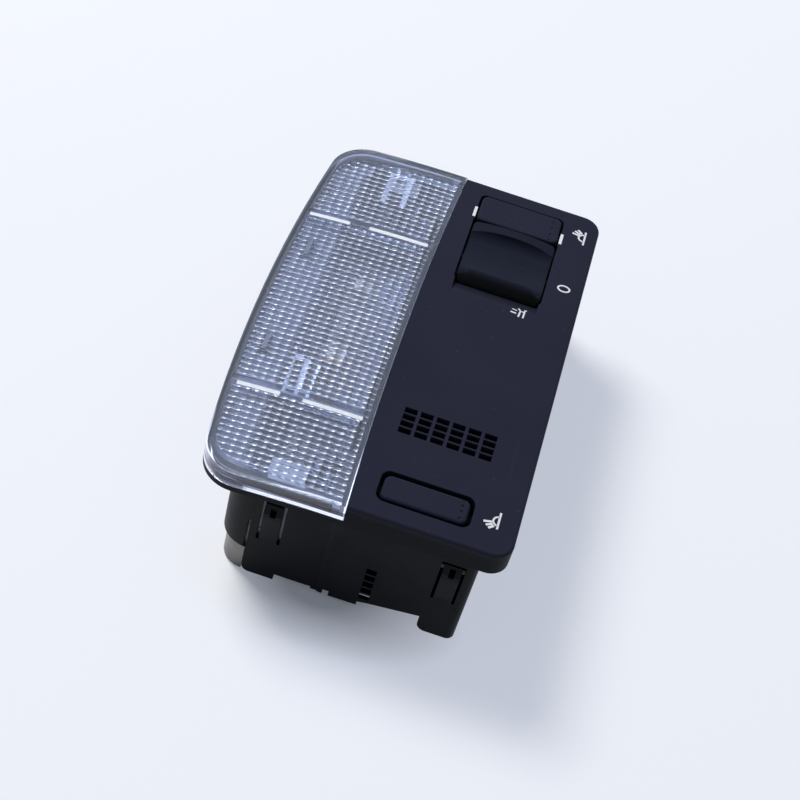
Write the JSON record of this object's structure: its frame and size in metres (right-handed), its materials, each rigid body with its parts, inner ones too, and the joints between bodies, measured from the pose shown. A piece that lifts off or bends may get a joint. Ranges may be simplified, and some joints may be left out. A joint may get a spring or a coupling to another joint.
{
  "type": "overhead car dome light",
  "caption": "Overhead car interior lamp: clear prismatic lens over dome and reading lamps beside a black control panel with rocker, push buttons and microphone grille.",
  "frame": {"origin": "under the middle of the lamp's box, on the plane that its back feet rest on", "axes": "+Z out of the front face, +Y along the length towards the rocker's end, +X from the lens towards the control panel"},
  "size_m": [0.0948, 0.15, 0.0476],
  "materials": {
    "panel_black": "fine matt grain",
    "housing_black": "smooth satin",
    "clear_lens": "clear prismatic polycarbonate",
    "print_white": "white",
    "shield_metal": "dull pressed sheet",
    "reflector_silver": "metallised",
    "bulb_glass": "clear glass",
    "bulb_cap": "nickel plate",
    "filament": "tungsten wire",
    "contact_brass": "stamped strip",
    "holder_white": "heat-proof moulding",
    "pin_steel": "ground pin",
    "spring_steel": "bright wire",
    "switch_grey": "moulded",
    "board_green": "solder mask",
    "mic_metal": "drawn can",
    "seal_rubber": "soft moulded",
    "socket_natural": "natural nylon"
  },
  "bodies": {
    "lamp": {"bezel": "panel_black", "housing": "housing_black", "lens": "clear_lens", "index_marks": "print_white", "heat_shield": "shield_metal", "reflector": "reflector_silver", "festoon_glass": "bulb_glass", "festoon_caps": "bulb_cap", "festoon_filament": "filament", "festoon_clips": "contact_brass", "reading_bulb_far": "bulb_glass", "reading_bulb_near": "bulb_glass", "bulb_holder_far": "holder_white", "bulb_holder_near": "holder_white", "lamp_rails": "contact_brass", "rocker_pin": "pin_steel", "detent_leaf": "contact_brass", "button_spring_far": "spring_steel", "button_spring_near": "spring_steel", "push_switch_far": "switch_grey", "push_switch_near": "switch_grey", "circuit_board": "board_green", "board_screws": "pin_steel", "microphone": "mic_metal", "microphone_seal": "seal_rubber", "connector_shell": "socket_natural", "connector_pins": "contact_brass"},
    "rocker": {"dome_rocker": "panel_black"},
    "far_button": {"reading_button_far": "panel_black"},
    "near_button": {"reading_button_near": "panel_black"}
  },
  "joints": [
    {"name": "dome_rocker_tilt", "type": "hinge", "parent": "lamp", "child": "rocker", "pos_m": [0.021, 0.0415, 0.0418], "axis": [1, 0, 0], "range_deg": [-8, 8]},
    {"name": "reading_button_far_push", "type": "slide", "parent": "lamp", "child": "far_button", "axis": [0, 0, -1], "range_m": [0, 0.0015], "stiffness_N_per_m": 800, "springref_m": -0.001, "deforming": ["button_spring_far"]},
    {"name": "reading_button_near_push", "type": "slide", "parent": "lamp", "child": "near_button", "axis": [0, 0, -1], "range_m": [0, 0.0015], "stiffness_N_per_m": 800, "springref_m": -0.001, "deforming": ["button_spring_near"]}
  ]
}
